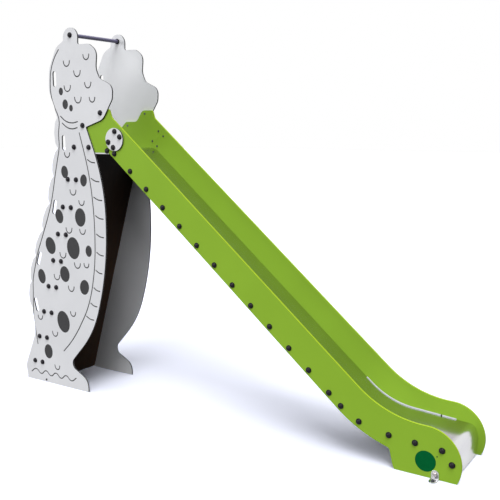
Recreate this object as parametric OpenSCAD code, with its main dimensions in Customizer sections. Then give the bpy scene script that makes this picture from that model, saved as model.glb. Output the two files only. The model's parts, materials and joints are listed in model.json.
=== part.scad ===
// Free-standing playground slide with a ladder tower between two contoured side panels.
// Millimetres, +Z up, +X towards the exit, Y across. The origin is on the ground below
// the middle of the whole slide. Right is -Y and left is +Y, facing the exit.

/* [Slide] */
// Height of the deck and of the start of the bed
bed_h = 1988; // [1700:1:2100]
// Slope of the slide, in degrees
slide_angle = 39.8; // [37:0.1:41]
// Clear width between the two slide sides
inner_w = 490; // [420:1:560]
// Height at which the slope and the run-out would meet
bend_h = 245; // [240:1:275]
// Fall of the run-out, in degrees
runout_angle = 3.8; // [3:0.1:5]
// Level distance from that bend to the centre of the round foot
runout_len = 447; // [420:1:520]
// Radius of the bed where the slope turns into the run-out
bend_r = 550; // [480:1:600]
// Radius of the bed where the deck turns into the slope
crest_r = 120; // [90:1:150]
// Level length of steel bed before the slope
bed_lead = 200; // [160:1:240]

/* [Slide sides] */
// Thickness of the green sides
side_t = 15; // [12:1:20]
// Height of the sides above the bed, square to it
side_above = 182; // [160:1:190]
// Depth of the sides below the bed, square to it
side_below = 46; // [42:1:52]
// Level length of the start sides, from the top of the slope backwards
start_len = 429; // [415:1:460]
// Height of the centre of the round foot
foot_h = 103; // [98:1:112]
// Radius of the upper edge above the run-out
edge_bend_r = 716; // [600:1:760]
// Radius of the lower edge under the run-out
belly_r = 920; // [700:1:960]

/* [Steel bed] */
// Thickness of the steel sheet
bed_t = 2.5; // [2:0.5:4]
// Depth of the bed's side flanges
flange_h = 28; // [24:1:32]
// Drop of the flange bolts below the bed
bed_bolt_drop = 13; // [12:1:15]
// Distance between the flange bolts along the slope
bed_bolt_pitch = 200; // [180:1:240]
// Width of a cross rib under the bed
rib_w = 60; // [40:1:90]
// Height of a cross rib
rib_h = 24; // [18:1:30]

/* [Ladder] */
// Height of the first tread
first_step = 190; // [180:1:230]
// How far each tread is set forward of the one below
step_run = 68; // [60:1:75]
// Depth of a tread
tread_d = 190; // [170:1:205]
// Thickness of the tread sheet
tread_t = 3; // [2:0.5:4]
// Depth of the tread's end flanges
tread_flange = 42; // [38:1:60]
// Depth of the tread's front and rear lips
tread_lip = 28; // [20:1:34]
// Distance between the two bolts at each end of a tread
tread_bolt_gap = 90; // [70:1:100]
// Drop of these bolts below the top of the tread
tread_bolt_drop = 20; // [18:1:24]
// Level distance from the rear bolts to the face of the back board
back_reach = 222; // [215:1:250]
// Thickness of the back board
back_t = 18; // [15:1:24]

/* [Side panels] */
// Thickness of the white side panels
panel_t = 13; // [10:1:18]
// Width of a hand-hold slot
slot_w = 38; // [30:1:42]
// Length of a hand-hold slot
slot_l = 122; // [100:1:130]
// How far each back plate stands out of the rear edge
plate_out = 34; // [20:1:45]

/* [Grab bar] */
// Height of the grab bar above the deck
bar_rise = 864; // [840:1:940]
// Outer diameter of the grab bar
bar_d = 30; // [25:1:38]
// Wall of the grab bar's tube
bar_wall = 3; // [2:0.5:5]
// Half the width of the round lugs that carry the bar
lug_r = 80; // [65:1:90]
// How far the lugs stand above the bar
lug_top = 56; // [40:1:62]

/* [Fasteners] */
// Diameter of the bolts
bolt_d = 10; // [8:1:12]
// Diameter of the black bolt caps
cap_d = 41; // [36:1:45]
// Height of the black bolt caps
cap_h = 17; // [14:1:20]
// Diameter of the round splice plates
splice_d = 172; // [160:1:180]
// Height of the centre of these plates above the bed, square to it
splice_up = 76; // [70:1:82]
// Distance between the splice bolts along the slope
splice_along = 63; // [55:1:70]
// Distance between the splice bolts across the slope
splice_across = 104; // [90:1:110]
// Diameter of the green discs on the round foot
disc_d = 135; // [110:1:150]
// Thickness of these discs
disc_t = 6; // [4:1:8]

/* [Ground fixings] */
// Width of an exit bracket, which has round ends
bracket_w = 50; // [44:1:56]
// Height of the bracket bolts above the ground
bracket_bolt_h = 35; // [32:1:40]
// Distance from the side to the anchor holes
anchor_reach = 42; // [38:1:50]
// Thickness of the brackets
bracket_t = 5; // [4:1:8]
// Diameter of the small bolts of the tower brackets
tower_bolt_d = 6; // [5:1:8]
// Height of these bolts above the ground
tower_bolt_h = 20; // [16:1:30]
// Distance between the two anchor holes of a tower bracket
anchor_gap = 60; // [50:1:80]
// Diameter of the anchor holes
anchor_d = 13; // [11:1:15]

/* [Hidden] */

$fn = 48;
// How far an outline's arc may stray from the true circle, and its largest step in degrees
arc_stray = 0.25;
arc_step = 9;
// Clearance between pieces that are slid together
fit = 0.3;
// Clearance round a bolt in its hole
bolt_gap = 0.5;
green = [0.54, 0.70, 0.21];
white = [0.87, 0.87, 0.89];
steel = [0.75, 0.76, 0.78];
black = [0.10, 0.09, 0.13];
film_brown = [0.16, 0.11, 0.09];

// Layers across the slide, from the middle outwards
side_in = inner_w / 2;
side_out = side_in + side_t;
panel_out = side_out + panel_t;
// Depth of the start sides below the level bed, just past its flanges
start_below = flange_h + 1;
deck_plate_t = 10;

// Points and directions in the side view, as [x, z]
function unit(a) = [cos(a), sin(a)];
function xy(p) = [p[0], p[1]];
function reversed(p) = [for (i = [len(p) - 1:-1:0]) p[i]];
// Crossing of the line through p at angle a with the line through q at angle b
function crossing(p, a, q, b) = p + unit(a) * cross(q - p, unit(b)) / cross(unit(a), unit(b));
// Far crossing of the line through p at angle a with the circle of radius r round c
function on_circle(p, a, c, r) =
    let (w = p - c, k = w * unit(a))
    p + unit(a) * (sqrt(k * k - w * w + r * r) - k);
// Arc of radius r that rounds the corner b between a and c
function fillet(a, b, c, r) =
    let (u = (a - b) / norm(a - b),
         v = (c - b) / norm(c - b),
         half = acos(u * v) / 2,
         o = b + (u + v) / norm(u + v) * r / sin(half),
         s = b + u * r / tan(half) - o,
         e = b + v * r / tan(half) - o,
         from = atan2(s[1], s[0]),
         turn = atan2(cross(s, e), s * e),
         step = min(arc_step, 2 * acos(1 - arc_stray / r)),
         n = max(2, ceil(abs(turn) / step)))
    [for (i = [0:n]) o + r * unit(from + turn * i / n)];
// How much of each edge the arc of radius r at the corner b takes
function arc_reach(a, b, c, r) =
    let (u = (a - b) / norm(a - b), v = (c - b) / norm(c - b))
    r <= 0 ? 0 : r / tan(acos(u * v) / 2);
// Share of their radii that two neighbouring arcs keep, so that both fit on their edge
function share(p, q, reach_p, reach_q) = min(1, 0.98 * norm(q - p) / max(reach_p + reach_q, 0.01));
// Outline through corners [x, z, radius]
function rounded(c) =
    let (n = len(c),
         p = [for (q = c) xy(q)],
         reach = [for (i = [0:n - 1]) arc_reach(p[(i + n - 1) % n], p[i], p[(i + 1) % n], c[i][2])],
         kept = [for (i = [0:n - 1]) share(p[i], p[(i + 1) % n], reach[i], reach[(i + 1) % n])])
    [for (i = [0:n - 1])
        each c[i][2] > 0
            ? fillet(p[(i + n - 1) % n], p[i], p[(i + 1) % n], c[i][2] * min(kept[(i + n - 1) % n], kept[i]))
            : [p[i]]];
// Points of an arc round c, a few degrees apart
function arc(c, r, from, to) =
    let (n = ceil(abs(to - from) / 4))
    [for (i = [0:n]) c + r * unit(from + (to - from) * i / n)];
function square_corners(points) = [for (p = points) [p[0], p[1], 0]];
// Path moved sideways by d, to the right of its direction
function normal(v) = [v[1], -v[0]] / norm(v);
function moved(p, d) = [
    for (i = [0:len(p) - 1])
        let (last = len(p) - 1,
             n1 = normal(i > 0 ? p[i] - p[i - 1] : p[1] - p[0]),
             n2 = normal(i < last ? p[i + 1] - p[i] : p[last] - p[last - 1]))
        p[i] + d * (n1 + n2) / (1 + n1 * n2)
];

// Bed line in the side view. X is 0 where the deck and the slope would meet.
crest = [0, bed_h];
down = unit(-slide_angle);
up = unit(90 - slide_angle);
bend = crossing(crest, -slide_angle, [0, bend_h], 0);
foot = [bend[0] + runout_len, foot_h];
foot_r = side_above + side_below;
nose_r = foot_r - side_below;
nose_fillet = 45;
nose_end_h = 6;
nose_corner = on_circle(bend, -runout_angle, foot, nose_r);
nose_from = atan2(nose_corner[1] - foot[1], nose_corner[0] - foot[0]) - 15;
bed_line = rounded(concat(
    [[-bed_lead, bed_h, 0], [0, bed_h, crest_r], [bend[0], bend[1], bend_r],
     [nose_corner[0], nose_corner[1], nose_fillet]],
    square_corners(arc(foot, nose_r, nose_from, 0)),
    [[foot[0] + nose_r - 4, nose_end_h, 0]]
));

// Ladder line through the rear tread bolts
step_count = 8;
step_rise = (bed_h - first_step) / step_count;
ladder_top = -396;
function ladder(z) = ladder_top + (z - bed_h) * step_run / step_rise;
function tread_top(i) = first_step + i * step_rise;

// Bolt places in the side view
start_bolt_at = [
    for (p = [[-0.907, 0.06], [-0.541, 0.06], [-0.674, 0.98], [-0.235, 1.5]])
        crest + [p[0] * start_len, p[1] * side_above]];
splice_back = 22.5;
splice_at = crest - down * splice_back + up * splice_up;
splice_reach = (splice_d + cap_d) / 2 + 1.2;
splice_bolt_at = [for (i = [-1, 1], j = [-1, 1])
    splice_at + down * i * splice_along / 2 + up * j * splice_across / 2];
tread_bolt_at = [for (i = [0:step_count - 1], j = [0, 1])
    let (z = tread_top(i) - tread_bolt_drop)
    [ladder(z) + j * tread_bolt_gap, z]];
bar_at = [-392, bed_h + bar_rise];
first_bed_bolt = sqrt(pow(splice_reach, 2) - pow(splice_up + bed_bolt_drop, 2)) - splice_back;
start_bed_bolt = sqrt(pow(splice_reach + 12, 2) - pow(splice_at[1] - bed_h + bed_bolt_drop, 2));
slope_len = norm(bend - crest);
slope_bolts = floor((slope_len - first_bed_bolt - bed_bolt_pitch) / bed_bolt_pitch);
bolt_line = moved(bed_line, bed_bolt_drop);
bed_bolt_x = concat(
    [splice_at[0] - start_bed_bolt],
    [for (i = [0:slope_bolts]) (crest + down * (first_bed_bolt + i * bed_bolt_pitch) - up * bed_bolt_drop)[0]],
    [for (k = [-1.309, -1.016, -0.55]) foot[0] + k * runout_len],
    [for (k = [-0.311, 0.452]) foot[0] + k * foot_r]
);
bed_bolt_at = concat(
    [for (x = bed_bolt_x) [x, lookup(x, bolt_line)]],
    [foot + (nose_r - bed_bolt_drop) * unit(5)]
);
exit_bracket_r = (disc_d + bracket_w) / 2 + 2;
exit_bracket_at = [foot[0] + sqrt(pow(exit_bracket_r, 2) - pow(foot_h - bracket_bolt_h, 2)), bracket_bolt_h];

// Board that closes the front of the ladder, and the angle strips behind it
cleat_w = 30;
cleat_t = 3;
screw_d = 5;
screw_l = 12;
back_low = 12;
back_top = bed_h - start_below - deck_plate_t - fit;
back_lean = atan(step_run / step_rise);
function back_face(z, depth) = [ladder(z) + back_reach - depth / cos(back_lean), z];
function back_strip(low, high, near, far) =
    [back_face(low, near), back_face(high, near), back_face(high, far), back_face(low, far)];
tower_bracket_w = anchor_gap + 40;
tower_bracket_h = bracket_bolt_h + 25;
tower_bracket_x = back_face(0, back_t)[0] - tower_bracket_w / 2 - 3;
tower_bolt_at = [tower_bracket_x + tower_bracket_w / 2 - 19, tower_bolt_h];
cleat_low = tower_bracket_h + 10;
cleat_high = back_top - 60;
screw_count = 5;
screw_pitch = (cleat_high - cleat_low - 120) / (screw_count - 1);
screw_z = [for (k = [0:screw_count - 1]) cleat_low + 60 + k * screw_pitch];
cleat_screw_at = [for (z = screw_z) back_face(z, back_t + cleat_w * 0.6)];

// Outline of both green pieces of one side
lobe_h = bed_h + 1.65 * side_above;
step_edge_h = bed_h + 1.15 * side_above;
edge_start = crest + up * side_above;
under_start = crest - up * side_below;
edge_bend = crossing(edge_start, -slide_angle, foot + [0, foot_r], 0);
leg_corner = foot + [-foot_r - 12, 28];
under_angle = 18;
under_bend = crossing(under_start, -slide_angle, leg_corner, -under_angle);
under_crest = crossing(under_start, -slide_angle, [0, bed_h - start_below], 0);
lobe_end = crossing(edge_start, -slide_angle, [-2, 0], 90);
ground_angle = asin(foot_h / foot_r);
side_line = rounded(concat(
    [
        [-start_len, bed_h - start_below, 20],
        [-start_len, bed_h + 0.53 * side_above, 40],
        [-0.71 * start_len, step_edge_h, 25],
        [-0.44 * start_len, step_edge_h, 45],
        [-0.3 * start_len, lobe_h, 50],
        [-0.05 * start_len, lobe_h, 22],
        [lobe_end[0], lobe_end[1], 50],
        [edge_bend[0], edge_bend[1], edge_bend_r]
    ],
    square_corners(arc(foot, foot_r, 90, -ground_angle)),
    square_corners(arc(foot, foot_r, 180 + ground_angle, 190)),
    [
        [leg_corner[0], leg_corner[1], 25],
        [under_bend[0], under_bend[1], belly_r],
        [under_crest[0], under_crest[1], 30]
    ]
));

// Outline of the white side panel: foot, belly, head, lug for the bar and back plates
heel = ladder(0);
plate_margin = [0.088, 0.0845, 0.0795, 0.0915, 0.1085, 0.1065, 0.0755] * bed_h;
nape = [-0.285 * bed_h, 1.119 * bed_h];
bar_h = bar_at[1];
function at_ladder(u, z, r) = [ladder(z) + u, z, r];
// Back plate from the valley at height from, a outside the ladder line, down to the next valley
function back_plate(from, to, a, b) =
    [for (q = [[0.15, 0.75], [0.5, 1.1], [0.85, 0.75]])
        at_ladder(-(a + (b - a) * q[0]) - plate_out * q[1], from + (to - from) * q[0], 60)];
panel_corners = concat(
    [
        [heel + 0.338 * bed_h, 0, 0],
        [heel + 0.338 * bed_h, 0.05 * bed_h, 0.05 * bed_h],
        [heel + 0.234 * bed_h, 0.102 * bed_h, 0.029 * bed_h],
        at_ladder(0.299 * bed_h, 0.2575 * bed_h, 0.42 * bed_h),
        at_ladder(0.306 * bed_h, 0.5156 * bed_h, 1.1 * bed_h),
        at_ladder(0.2007 * bed_h, 0.8637 * bed_h, 0.73 * bed_h),
        [-0.13 * bed_h, 1.0835 * bed_h, 10],
        [-0.039 * bed_h, 1.1125 * bed_h, 105],
        [0.011 * bed_h, 1.187 * bed_h, 70],
        [0.015 * bed_h, 1.237 * bed_h, 70],
        [-0.051 * bed_h, 1.266 * bed_h, 60],
        [-0.0685 * bed_h, bar_h - 0.131 * bed_h, 120],
        [-0.0605 * bed_h, bar_h - 0.065 * bed_h, 80],
        [-0.1 * bed_h, bar_h - 0.037 * bed_h, 70],
        [bar_at[0] + lug_r - 5, bar_h - 0.037 * bed_h, 14],
        [bar_at[0] + lug_r, bar_h + lug_top, lug_r - 1],
        [bar_at[0] - lug_r, bar_h + lug_top, lug_r - 1],
        [bar_at[0] - lug_r + 4, bar_h - 0.02 * bed_h, 14],
        [-0.2765 * bed_h, bar_h - 0.042 * bed_h, 110],
        [-0.319 * bed_h, bar_h - 0.125 * bed_h, 150],
        [-0.325 * bed_h, bar_h - 0.21 * bed_h, 180],
        [nape[0] - plate_out * 0.8, nape[1] + 0.045 * bed_h, 110],
        [nape[0], nape[1], 14]
    ],
    back_plate(nape[1], bed_h, -(nape[0] - ladder(nape[1])), plate_margin[0]),
    [
        for (k = [0:6])
            let (high = tread_top(step_count - k))
            each concat(
                [at_ladder(-plate_margin[k], high, 12)],
                k < 6 ? back_plate(high, high - step_rise, plate_margin[k], plate_margin[k + 1]) : [])
    ],
    [
        at_ladder(-0.029 * bed_h, 0.216 * bed_h, 160),
        [heel - 0.033 * bed_h, 0.056 * bed_h, 80],
        [heel - 0.024 * bed_h, 0, 0]
    ]
);
panel_line = rounded(panel_corners);
// Hand-hold slots as [x, z, tilt]
slot_at = [
    [-579, bed_h + 539, 0],
    [ladder(bed_h + 42) - 120, bed_h + 42, 0],
    [ladder(bed_h * 0.7606) - 96, bed_h * 0.7606, -14],
    [ladder(bed_h * 0.5382) - 170, bed_h * 0.5382, -20],
    [ladder(bed_h * 0.336) - 106, bed_h * 0.336, 14]
];

front_x = foot[0] + foot_r;
rear_x = min([for (p = panel_line) p[0]]);
mid_x = (front_x + rear_x) / 2;

// Placing of everything over the origin
module placed() {
    translate([-mid_x, 0, 0])
        children();
}

// Plate of thickness t with its inner face at y, on the right side
module plate(y, t) {
    translate([0, -y, 0])
        rotate([90, 0, 0])
            linear_extrude(t)
                children();
}

// Piece that runs across the slide, w wide
module across(w) {
    translate([0, w / 2, 0])
        rotate([90, 0, 0])
            linear_extrude(w)
                children();
}

module both_sides() {
    children();
    mirror([0, 1, 0])
        children();
}

module holes(places, d) {
    for (p = places)
        translate(p)
            circle(d = d);
}

// Things that stand on the right side's face at y and point outwards
module stand_on(places, y) {
    for (p = places)
        translate([p[0], -y, p[1]])
            rotate([90, 0, 0])
                children();
}

module slot(l, w) {
    square([w, l - w], center = true);
    for (s = [-1, 1])
        translate([0, s * (l - w) / 2])
            circle(d = w);
}

// Size across a bolt's head, and its height
function head_w(d) = 1.7 * d;
function head_h(d) = 0.6 * d;

// Bolt with its head on the outer face and a flush sleeve nut under grip mm of material
module bolt(grip, d) {
    cylinder(h = head_h(d), d = head_w(d), $fn = 6);
    translate([0, 0, -grip])
        cylinder(h = grip, d = d);
    translate([0, 0, -grip - 2.5])
        cylinder(h = 2.5, d = 1.6 * d);
}

// Hollow domed cap, w wide and h high, over the head of a bolt of diameter d
module cap(w, h, d) {
    rotate_extrude()
        difference() {
            intersection() {
                translate([0, h - w * 0.62])
                    circle(r = w * 0.62, $fn = 96);
                square([w / 2, h]);
            }
            square([head_w(d) / 2 + 1, head_h(d) + 1]);
        }
}

module bolts(places, y, grip, d = bolt_d) {
    color(steel)
        placed()
            both_sides()
                stand_on(places, y)
                    bolt(grip, d);
}

module caps(places, y, w = cap_d, h = cap_h, d = bolt_d) {
    color(black)
        placed()
            both_sides()
                stand_on(places, y)
                    cap(w, h, d);
}

// White side panel
module side_panel_right() {
    hole_d = bolt_d + 2 * bolt_gap;
    color(white)
        placed()
            difference() {
                plate(side_out, panel_t)
                    difference() {
                        polygon(panel_line);
                        holes(concat(start_bolt_at, tread_bolt_at, [bar_at]), hole_d);
                        holes([tower_bolt_at], tower_bolt_d + 2 * bolt_gap);
                        for (s = slot_at)
                            translate(xy(s))
                                rotate(s[2])
                                    slot(slot_l, slot_w);
                    }
                stand_on(cleat_screw_at, side_out)
                    translate([0, 0, -1])
                        cylinder(h = screw_l - cleat_t + 1 + fit, d = screw_d + 2 * fit);
            }
}

module side_panel_left() {
    mirror([0, 1, 0])
        side_panel_right();
}

// Everything on the exit side of the seam between the two green pieces
module past_seam(gap) {
    translate(splice_at)
        rotate(-slide_angle)
            translate([gap, -bed_h])
                square([3 * bed_h, 2 * bed_h]);
}

module green_side() {
    difference() {
        polygon(side_line);
        holes(concat(start_bolt_at, splice_bolt_at, bed_bolt_at, [exit_bracket_at]), bolt_d + 2 * bolt_gap);
    }
}

// Green side of the level start, with the two lobes
module start_side_right() {
    color(green)
        placed()
            plate(side_in, side_t)
                difference() {
                    green_side();
                    past_seam(-fit);
                }
}

module start_side_left() {
    mirror([0, 1, 0])
        start_side_right();
}

// Long green side, down to the round foot
module slide_side_right() {
    color(green)
        placed()
            difference() {
                plate(side_in, side_t)
                    intersection() {
                        green_side();
                        past_seam(0);
                    }
                plate(side_out - disc_t + 1, disc_t)
                    translate(foot)
                        circle(d = disc_d + 2 * fit);
            }
}

module slide_side_left() {
    mirror([0, 1, 0])
        slide_side_right();
}

// Round plate that joins the two green pieces
module splice_plate_right() {
    color(white)
        placed()
            plate(side_out, panel_t)
                difference() {
                    translate(splice_at)
                        circle(d = splice_d, $fn = 96);
                    holes(splice_bolt_at, bolt_d + 2 * bolt_gap);
                }
}

module splice_plate_left() {
    mirror([0, 1, 0])
        splice_plate_right();
}

// Bed of folded sheet: deck end, slope, run-out and nose, with a flange down each edge
module slide_bed() {
    w = inner_w - 2 * fit;
    under = moved(bed_line, flange_h);
    color(steel)
        placed()
            difference() {
                union() {
                    across(w)
                        polygon(concat(bed_line, reversed(moved(bed_line, bed_t))));
                    both_sides()
                        plate(side_in - fit - bed_t, bed_t)
                            polygon(concat(bed_line, reversed(under)));
                    translate([-bed_lead, -w / 2, bed_h - start_below])
                        cube([bed_t, w, start_below]);
                }
                both_sides()
                    plate(side_in - bed_t - 1, bed_t + 2)
                        holes(bed_bolt_at, bolt_d + 2 * bolt_gap);
            }
}

// Folded cross ribs welded under the slope
module bed_ribs() {
    w = inner_w - 2 * (fit + bed_t + 1);
    color(steel)
        placed()
            for (i = [1:2:slope_bolts])
                across(w)
                    translate(crest + down * (first_bed_bolt + (i + 0.5) * bed_bolt_pitch) - up * bed_t)
                        rotate(-slide_angle)
                            translate([-rib_w / 2, -rib_h])
                                difference() {
                                    square([rib_w, rib_h]);
                                    translate([bed_t, -1])
                                        square([rib_w - 2 * bed_t, rib_h - bed_t + 1]);
                                }
}

// Non-slip board of the deck
module deck_board() {
    color(film_brown)
        placed()
            translate([-start_len, -side_in + fit, bed_h - start_below])
                cube([start_len - bed_lead - fit, inner_w - 2 * fit, start_below]);
}

// Plate under the deck and the start of the bed
module deck_plate() {
    color(white)
        placed()
            translate([-start_len, -side_out + fit, bed_h - start_below - deck_plate_t])
                cube([start_len + under_crest[0] - fit, 2 * (side_out - fit), deck_plate_t]);
}

// Folded tread: top, front and rear lips, and an end flange at each side
tread_rear = -50;
module tread(i) {
    top = tread_top(i);
    z = top - tread_bolt_drop;
    w = 2 * (side_out - fit);
    color(steel)
        placed()
            difference() {
                translate([ladder(z) + tread_rear, -w / 2, top - tread_flange])
                    difference() {
                        cube([tread_d, w, tread_flange]);
                        translate([tread_t, tread_t, -tread_t])
                            cube([tread_d - 2 * tread_t, w - 2 * tread_t, tread_flange]);
                        translate([-1, tread_t, -1])
                            cube([tread_d + 2, w - 2 * tread_t, tread_flange - tread_lip + 1]);
                    }
                both_sides()
                    plate(side_out - tread_t - 1, tread_t + 2)
                        holes([[ladder(z), z], [ladder(z) + tread_bolt_gap, z]], bolt_d + 2 * bolt_gap);
            }
}

// Board that closes the front of the ladder, leaning with it
module back_board() {
    color(film_brown)
        placed()
            difference() {
                across(2 * (side_out - fit))
                    polygon(back_strip(back_low, back_top, 0, back_t));
                both_sides()
                    back_screw_holes();
            }
}

module back_screw_places() {
    for (z = screw_z)
        let (p = back_face(z, back_t + cleat_t))
        translate([p[0], -side_out + fit + cleat_w * 0.6, p[1]])
            rotate([0, -90 + back_lean, 0])
                children();
}

module back_screw_holes() {
    back_screw_places()
        translate([0, 0, -screw_l - fit])
            cylinder(h = screw_l + 1, d = screw_d + 2 * fit);
}

// Angle strips that hold the back board to the side panels
module back_cleats() {
    color(steel)
        placed()
            both_sides()
                difference() {
                    union() {
                        plate(side_out - fit - cleat_w, cleat_w)
                            polygon(back_strip(cleat_low, cleat_high, back_t, back_t + cleat_t));
                        plate(side_out - fit - cleat_t, cleat_t)
                            polygon(back_strip(cleat_low, cleat_high, back_t, back_t + cleat_w));
                    }
                    back_screw_holes();
                    stand_on(cleat_screw_at, side_out)
                        translate([0, 0, -cleat_w / 2])
                            cylinder(h = cleat_w, d = screw_d + 2 * fit);
                }
}

module screw() {
    cylinder(h = 3, d = screw_d * 1.9);
    translate([0, 0, -screw_l])
        cylinder(h = screw_l, d = screw_d);
}

module back_screws() {
    color(steel)
        placed()
            both_sides() {
                back_screw_places()
                    screw();
                stand_on(cleat_screw_at, side_out - fit - cleat_t)
                    mirror([0, 0, 1])
                        screw();
            }
}

// Tube between the two lugs, with a drilled plug in each end
module grab_bar() {
    plug_l = 30;
    color([0.45, 0.43, 0.55])
        placed()
            translate([bar_at[0], 0, bar_at[1]])
                rotate([90, 0, 0])
                    difference() {
                        cylinder(h = 2 * (side_out - fit), d = bar_d, center = true);
                        cylinder(h = 2 * (side_out - plug_l), d = bar_d - 2 * bar_wall, center = true);
                        cylinder(h = 2 * side_out, d = bolt_d + 2 * fit, center = true);
                    }
}

// Black rings round the ends of the bar
module bar_collars() {
    collar_t = 10;
    color(black)
        placed()
            both_sides()
                stand_on([bar_at], side_out - fit)
                    mirror([0, 0, 1])
                        difference() {
                            cylinder(h = collar_t, d = bar_d + 14);
                            translate([0, 0, -1])
                                cylinder(h = collar_t + 2, d = bar_d + 2 * fit);
                        }
}

module bar_bolts() {
    color(steel)
        placed()
            both_sides()
                stand_on([bar_at], panel_out) {
                    cylinder(h = head_h(bolt_d), d = head_w(bolt_d), $fn = 6);
                    translate([0, 0, -panel_t - 25])
                        cylinder(h = panel_t + 25, d = bolt_d);
                }
}

module tread_bolts() {
    bolts(tread_bolt_at, panel_out, panel_t + fit + tread_t);
}

module start_bolts() {
    bolts(start_bolt_at, panel_out, panel_t + side_t);
}

module splice_bolts() {
    bolts(splice_bolt_at, panel_out, panel_t + side_t);
}

module bed_bolts() {
    bolts(bed_bolt_at, side_out, side_t + fit + bed_t);
}

// Bolts of the four ground brackets
module foot_bolts() {
    bolts([exit_bracket_at], side_out + bracket_t, bracket_t + side_t);
    bolts([tower_bolt_at], panel_out, panel_t + bracket_t, tower_bolt_d);
}

module bar_caps() {
    caps([bar_at], panel_out);
}

module tread_caps() {
    caps(tread_bolt_at, panel_out);
}

module start_caps() {
    caps(start_bolt_at, panel_out);
}

module splice_caps() {
    caps(splice_bolt_at, panel_out);
}

module bed_caps() {
    caps(bed_bolt_at, side_out);
}

// Small caps over the bolts of the tower brackets
module foot_caps() {
    caps([tower_bolt_at], panel_out, 3 * tower_bolt_d, 1.25 * tower_bolt_d, tower_bolt_d);
}

// Plain disc let into the outer face of the round foot
module foot_disc_right() {
    color([0, 0.37, 0.20])
        placed()
            plate(side_out - disc_t + 1, disc_t)
                translate(foot)
                    circle(d = disc_d, $fn = 96);
}

module foot_disc_left() {
    mirror([0, 1, 0])
        foot_disc_right();
}

// Folded angles outside the round feet, with round ends and one anchor each
module exit_brackets() {
    color(steel)
        placed()
            both_sides()
                translate([exit_bracket_at[0], -side_out, 0]) {
                    rotate([90, 0, 0])
                        linear_extrude(bracket_t)
                            bracket_leg(bracket_bolt_h, bolt_d + 2 * bolt_gap);
                    mirror([0, 1, 0])
                        linear_extrude(bracket_t)
                            bracket_leg(anchor_reach, anchor_d);
                }
}

// Leg of an exit bracket, with its hole in the middle of its round end
module bracket_leg(reach, hole_d) {
    difference() {
        union() {
            translate([-bracket_w / 2, 0])
                square([bracket_w, reach]);
            translate([0, reach])
                circle(d = bracket_w);
        }
        translate([0, reach])
            circle(d = hole_d);
    }
}

// Longer angles inside the feet of the side panels, with two free anchor holes each
module tower_brackets() {
    color(steel)
        placed()
            both_sides()
                translate([tower_bracket_x, -side_out, 0])
                    difference() {
                        union() {
                            translate([-tower_bracket_w / 2, 0, 0])
                                cube([tower_bracket_w, bracket_t, tower_bracket_h]);
                            translate([-tower_bracket_w / 2, 0, 0])
                                cube([tower_bracket_w, anchor_reach + 22, bracket_t]);
                        }
                        translate([tower_bolt_at[0] - tower_bracket_x, bracket_t + 1, tower_bolt_h])
                            rotate([90, 0, 0])
                                cylinder(h = bracket_t + 2, d = tower_bolt_d + 2 * bolt_gap);
                        for (s = [-1, 1])
                            translate([s * anchor_gap / 2, anchor_reach, -1])
                                cylinder(h = bracket_t + 2, d = anchor_d);
                    }
}

// Heads of the ground anchors in the exit brackets
module anchor_bolts() {
    washer_t = 2;
    color(steel)
        placed()
            both_sides()
                translate([exit_bracket_at[0], -side_out - anchor_reach, 0]) {
                    cylinder(h = bracket_t, d = anchor_d - 2 * bolt_gap);
                    translate([0, 0, bracket_t])
                        cylinder(h = washer_t, d = anchor_d * 1.7);
                    translate([0, 0, bracket_t + washer_t])
                        cylinder(h = 7, d = anchor_d * 1.4, $fn = 6);
                }
}

side_panel_right();
side_panel_left();
start_side_right();
start_side_left();
slide_side_right();
slide_side_left();
splice_plate_right();
splice_plate_left();
slide_bed();
bed_ribs();
deck_board();
deck_plate();
tread(0);  // tread_1
tread(1);  // tread_2
tread(2);  // tread_3
tread(3);  // tread_4
tread(4);  // tread_5
tread(5);  // tread_6
tread(6);  // tread_7
tread(7);  // tread_8
back_board();
back_cleats();
back_screws();
grab_bar();
bar_collars();
bar_bolts();
tread_bolts();
start_bolts();
splice_bolts();
bed_bolts();
foot_bolts();
bar_caps();
tread_caps();
start_caps();
splice_caps();
bed_caps();
foot_caps();
foot_disc_right();
foot_disc_left();
exit_brackets();
tower_brackets();
anchor_bolts();
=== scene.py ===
import bpy
import bmesh
import json
import math
from mathutils import Matrix, Vector


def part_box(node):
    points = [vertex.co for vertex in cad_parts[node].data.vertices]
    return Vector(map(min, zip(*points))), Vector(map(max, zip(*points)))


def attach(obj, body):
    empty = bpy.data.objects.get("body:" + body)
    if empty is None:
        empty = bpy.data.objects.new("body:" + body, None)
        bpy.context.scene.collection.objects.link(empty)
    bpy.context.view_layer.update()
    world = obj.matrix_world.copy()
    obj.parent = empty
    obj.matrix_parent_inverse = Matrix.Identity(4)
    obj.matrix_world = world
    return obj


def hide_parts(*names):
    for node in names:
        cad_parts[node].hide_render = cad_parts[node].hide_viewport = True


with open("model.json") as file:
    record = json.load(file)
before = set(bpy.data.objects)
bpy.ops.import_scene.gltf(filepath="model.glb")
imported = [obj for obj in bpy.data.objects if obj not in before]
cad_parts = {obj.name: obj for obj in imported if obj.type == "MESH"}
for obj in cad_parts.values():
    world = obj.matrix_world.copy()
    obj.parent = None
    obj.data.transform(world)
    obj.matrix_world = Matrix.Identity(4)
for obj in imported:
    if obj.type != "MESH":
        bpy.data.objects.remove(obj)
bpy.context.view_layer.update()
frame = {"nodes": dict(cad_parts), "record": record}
cadNodes = frame["nodes"]
print("frame loaded:", len(cadNodes), "nodes")

scene = bpy.context.scene
scene.view_settings.view_transform = "Standard"


# Camera, light and floor

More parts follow.
